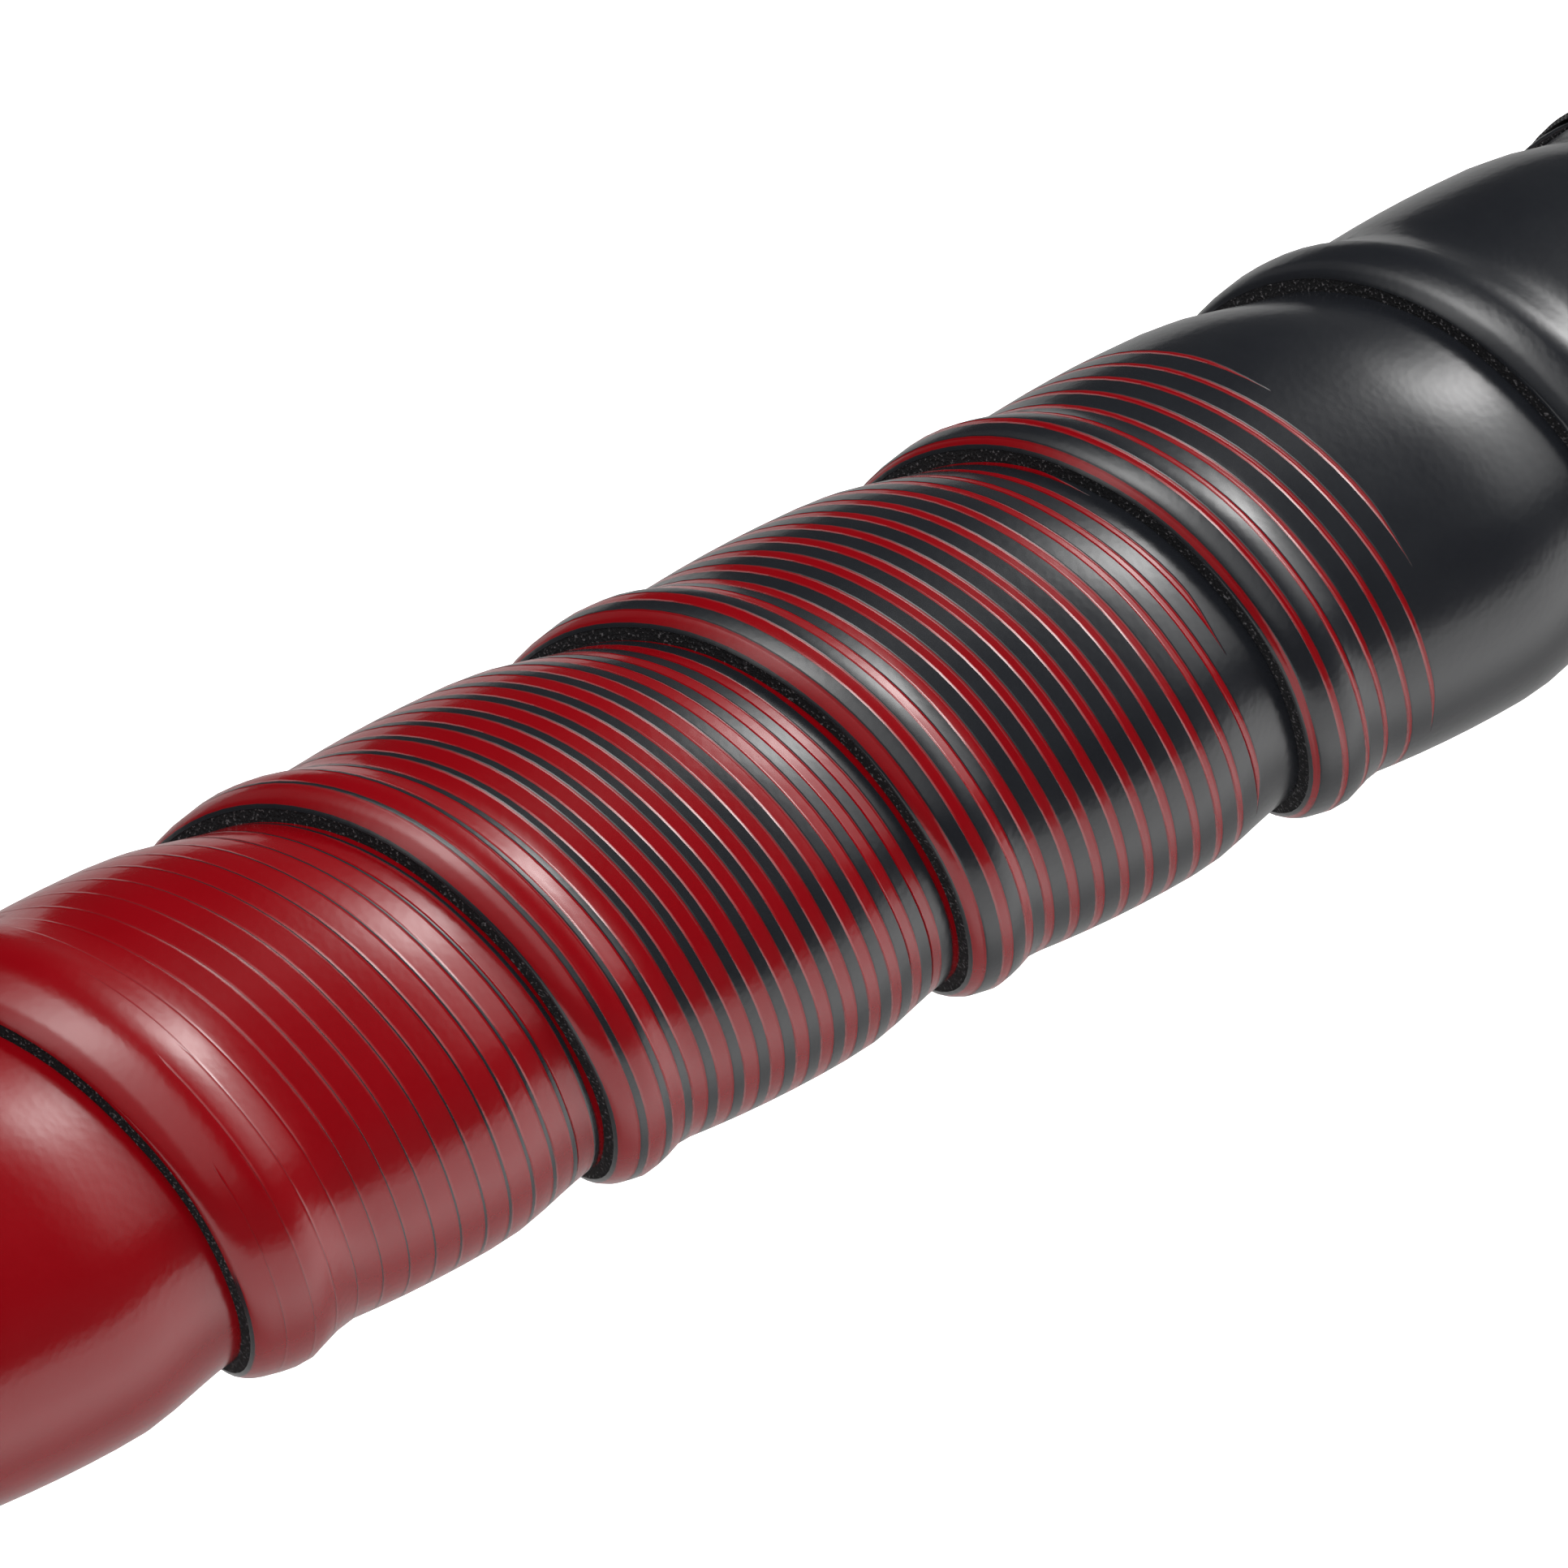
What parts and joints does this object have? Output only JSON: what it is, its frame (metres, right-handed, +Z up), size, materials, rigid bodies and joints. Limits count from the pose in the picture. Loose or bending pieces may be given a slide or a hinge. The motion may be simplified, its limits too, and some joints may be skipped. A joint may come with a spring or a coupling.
{
  "type": "drop handlebar with bar tape",
  "caption": "Drop handlebar for a road or tandem bicycle, wrapped in red to black striped bar tape, with a bare stem clamp zone and expander plugs in its open ends.",
  "frame": {"origin": "centre of the stem clamp zone, on the axis of the tops", "axes": "X across the bicycle with the rider's left at +X, -Y forwards, +Z up with the drops level"},
  "size_m": [0.5095, 0.1566, 0.1606],
  "materials": {
    "bar_alloy": "bead-blasted black anodised",
    "bar_tape": "satin embossed synthetic leather on foam, red fading to black in stripes",
    "finishing_tape": "woven black adhesive tape",
    "plug_plastic": "fine moulded grain",
    "trim_alloy": "red anodised, turned",
    "steel": "zinc plated",
    "nut_alloy": "turned",
    "ring_rubber": "smooth rubber",
    "shoe_plastic": "glass-filled nylon"
  },
  "bodies": {
    "bar": {"handlebar": "bar_alloy", "left_bar_tape": "bar_tape", "left_finishing_tape": "finishing_tape", "right_bar_tape": "bar_tape", "right_finishing_tape": "finishing_tape"},
    "left_plug": {"left_plug_cap": "plug_plastic", "left_plug_trim": "trim_alloy", "left_plug_washer": "steel"},
    "left_screw": {"left_plug_screw": "steel"},
    "left_nut": {"left_cone_nut": "nut_alloy"},
    "left_ring": {"left_shoe_ring": "ring_rubber"},
    "left_shoe_1": {"left_shoe_1": "shoe_plastic"},
    "left_shoe_2": {"left_shoe_2": "shoe_plastic"},
    "left_shoe_3": {"left_shoe_3": "shoe_plastic"},
    "right_plug": {"right_plug_cap": "plug_plastic", "right_plug_trim": "trim_alloy", "right_plug_washer": "steel"},
    "right_screw": {"right_plug_screw": "steel"},
    "right_nut": {"right_cone_nut": "nut_alloy"},
    "right_ring": {"right_shoe_ring": "ring_rubber"},
    "right_shoe_1": {"right_shoe_1": "shoe_plastic"},
    "right_shoe_2": {"right_shoe_2": "shoe_plastic"},
    "right_shoe_3": {"right_shoe_3": "shoe_plastic"}
  },
  "joints": [
    {"name": "left_plug_pull", "type": "slide", "parent": "bar", "child": "left_plug", "axis": [0, 1, 0], "range_m": [0, 0.034]},
    {"name": "left_nut_travel", "type": "slide", "parent": "left_plug", "child": "left_nut", "axis": [0, -1, 0], "range_m": [0, 0.0024]},
    {"name": "left_screw_turn", "type": "hinge", "parent": "left_plug", "child": "left_screw", "pos_m": [0.24, 0.052, -0.13], "axis": [0, 1, 0], "range_deg": [0, 1080.5]},
    {"name": "left_ring_travel", "type": "slide", "parent": "left_plug", "child": "left_ring", "axis": [0, -1, 0], "range_m": [0, 0.0012]},
    {"name": "left_shoe_1_draw", "type": "slide", "parent": "left_plug", "child": "left_shoe_1", "axis": [-0.342, -0.9397, 0], "range_m": [0, 0.00128]},
    {"name": "left_shoe_2_draw", "type": "slide", "parent": "left_plug", "child": "left_shoe_2", "axis": [0.171, -0.9397, 0.2962], "range_m": [0, 0.00128]},
    {"name": "left_shoe_3_draw", "type": "slide", "parent": "left_plug", "child": "left_shoe_3", "axis": [0.171, -0.9397, -0.2962], "range_m": [0, 0.00128]},
    {"name": "right_plug_pull", "type": "slide", "parent": "bar", "child": "right_plug", "axis": [0, 1, 0], "range_m": [0, 0.034]},
    {"name": "right_nut_travel", "type": "slide", "parent": "right_plug", "child": "right_nut", "axis": [0, -1, 0], "range_m": [0, 0.0024]},
    {"name": "right_screw_turn", "type": "hinge", "parent": "right_plug", "child": "right_screw", "pos_m": [-0.24, 0.052, -0.13], "axis": [0, 1, 0], "range_deg": [0, 1080.5]},
    {"name": "right_ring_travel", "type": "slide", "parent": "right_plug", "child": "right_ring", "axis": [0, -1, 0], "range_m": [0, 0.0012]},
    {"name": "right_shoe_1_draw", "type": "slide", "parent": "right_plug", "child": "right_shoe_1", "axis": [-0.342, -0.9397, 0], "range_m": [0, 0.00128]},
    {"name": "right_shoe_2_draw", "type": "slide", "parent": "right_plug", "child": "right_shoe_2", "axis": [0.171, -0.9397, 0.2962], "range_m": [0, 0.00128]},
    {"name": "right_shoe_3_draw", "type": "slide", "parent": "right_plug", "child": "right_shoe_3", "axis": [0.171, -0.9397, -0.2962], "range_m": [0, 0.00128]}
  ],
  "couplings": [
    {"joint": "left_screw_turn", "follows": "left_nut_travel", "rad_per_m": 7854},
    {"joint": "left_ring_travel", "follows": "left_nut_travel", "ratio": 0.5},
    {"joint": "left_shoe_1_draw", "follows": "left_nut_travel", "ratio": 0.53209},
    {"joint": "left_shoe_2_draw", "follows": "left_nut_travel", "ratio": 0.53209},
    {"joint": "left_shoe_3_draw", "follows": "left_nut_travel", "ratio": 0.53209},
    {"joint": "right_screw_turn", "follows": "right_nut_travel", "rad_per_m": 7854},
    {"joint": "right_ring_travel", "follows": "right_nut_travel", "ratio": 0.5},
    {"joint": "right_shoe_1_draw", "follows": "right_nut_travel", "ratio": 0.53209},
    {"joint": "right_shoe_2_draw", "follows": "right_nut_travel", "ratio": 0.53209},
    {"joint": "right_shoe_3_draw", "follows": "right_nut_travel", "ratio": 0.53209}
  ]
}
